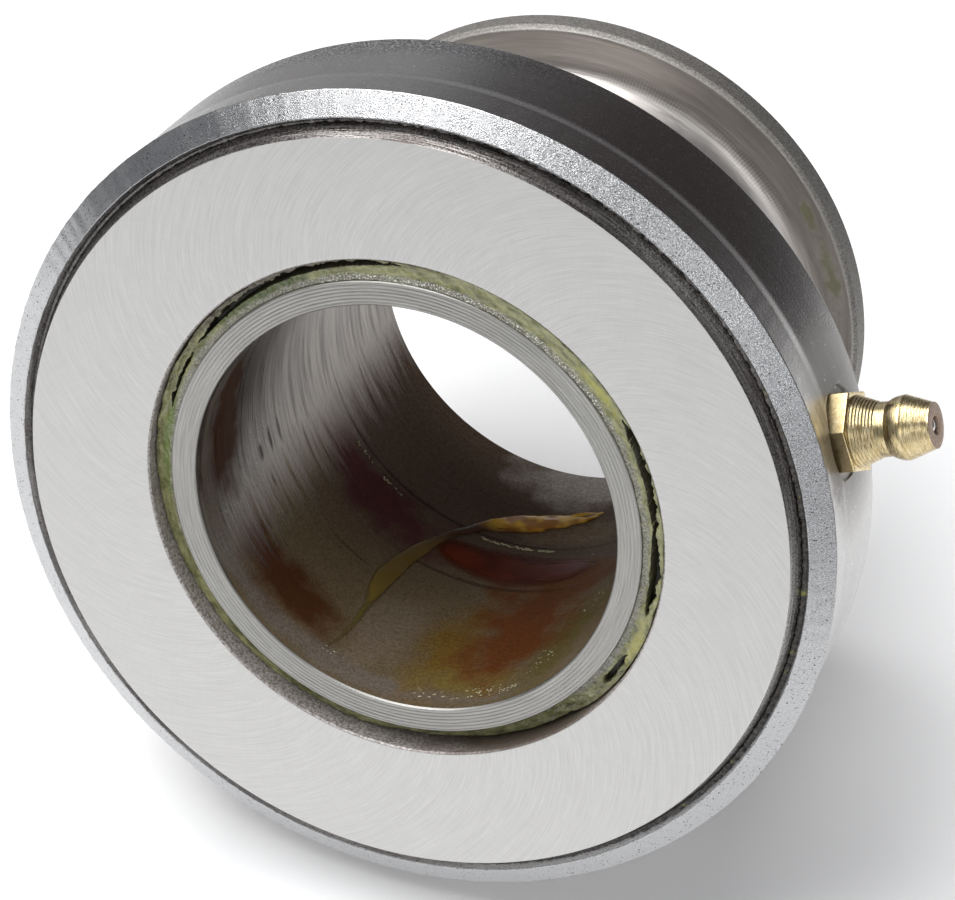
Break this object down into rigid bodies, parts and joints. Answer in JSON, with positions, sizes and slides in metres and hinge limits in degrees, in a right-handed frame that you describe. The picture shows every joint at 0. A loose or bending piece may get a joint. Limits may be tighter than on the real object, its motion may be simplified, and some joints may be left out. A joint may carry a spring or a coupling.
{
  "type": "clutch release bearing",
  "caption": "Clutch release bearing: bored steel sleeve with a fork groove, and a cupped flange rolled in over a ball thrust bearing, with a brass grease fitting.",
  "frame": {"origin": "on the bore's axis at the rear mouth, level with the rear collar's face that it stands on", "axes": "+Z along the bore from the rear collar to the thrust face, +X along the grease fitting"},
  "size_m": [0.0998, 0.0906, 0.055],
  "materials": {
    "turned_steel": "turned carbon steel under a dark oil film, bright where the lip is rolled",
    "ground_steel": "ground thrust face, heat scale left on the rim",
    "race_steel": "hardened and ground bearing steel",
    "ball_steel": "polished bearing balls",
    "cage_steel": "pressed sheet, oiled",
    "brass": "turned brass, slightly dulled",
    "spring_steel": "drawn spring wire",
    "olive_grease": "wet lithium grease and oil left on the part"
  },
  "bodies": {
    "carrier": {"carrier_sleeve": "turned_steel", "rear_race": "race_steel", "grease_fitting": "brass", "check_spring": "spring_steel"},
    "front_race": {"front_race": "ground_steel"},
    "ball_set": {"ball_cage": "cage_steel", "ball_1": "ball_steel", "ball_2": "ball_steel", "ball_3": "ball_steel", "ball_4": "ball_steel", "ball_5": "ball_steel", "ball_6": "ball_steel", "ball_7": "ball_steel", "ball_8": "ball_steel", "ball_9": "ball_steel", "ball_10": "ball_steel", "ball_11": "ball_steel", "ball_12": "ball_steel", "ball_13": "ball_steel", "ball_14": "ball_steel", "ball_15": "ball_steel", "ball_16": "ball_steel", "ball_17": "ball_steel", "ball_18": "ball_steel", "ball_19": "ball_steel", "ball_20": "ball_steel"},
    "check_ball": {"check_ball": "ball_steel"}
  },
  "joints": [
    {"name": "front_race_spin", "type": "hinge", "parent": "carrier", "child": "front_race", "pos_m": [0, 0, 0.052], "axis": [0, 0, 1], "continuous": true},
    {"name": "cage_spin", "type": "hinge", "parent": "carrier", "child": "ball_set", "pos_m": [0, 0, 0.04677], "axis": [0, 0, 1], "continuous": true},
    {"name": "check_ball_slide", "type": "slide", "parent": "carrier", "child": "check_ball", "axis": [-1, 0, 0], "range_m": [0, 0.0008], "stiffness_N_per_m": 300, "springref_m": -0.001, "deforming": ["check_spring"]}
  ],
  "couplings": [
    {"joint": "cage_spin", "follows": "front_race_spin", "ratio": 0.5}
  ]
}
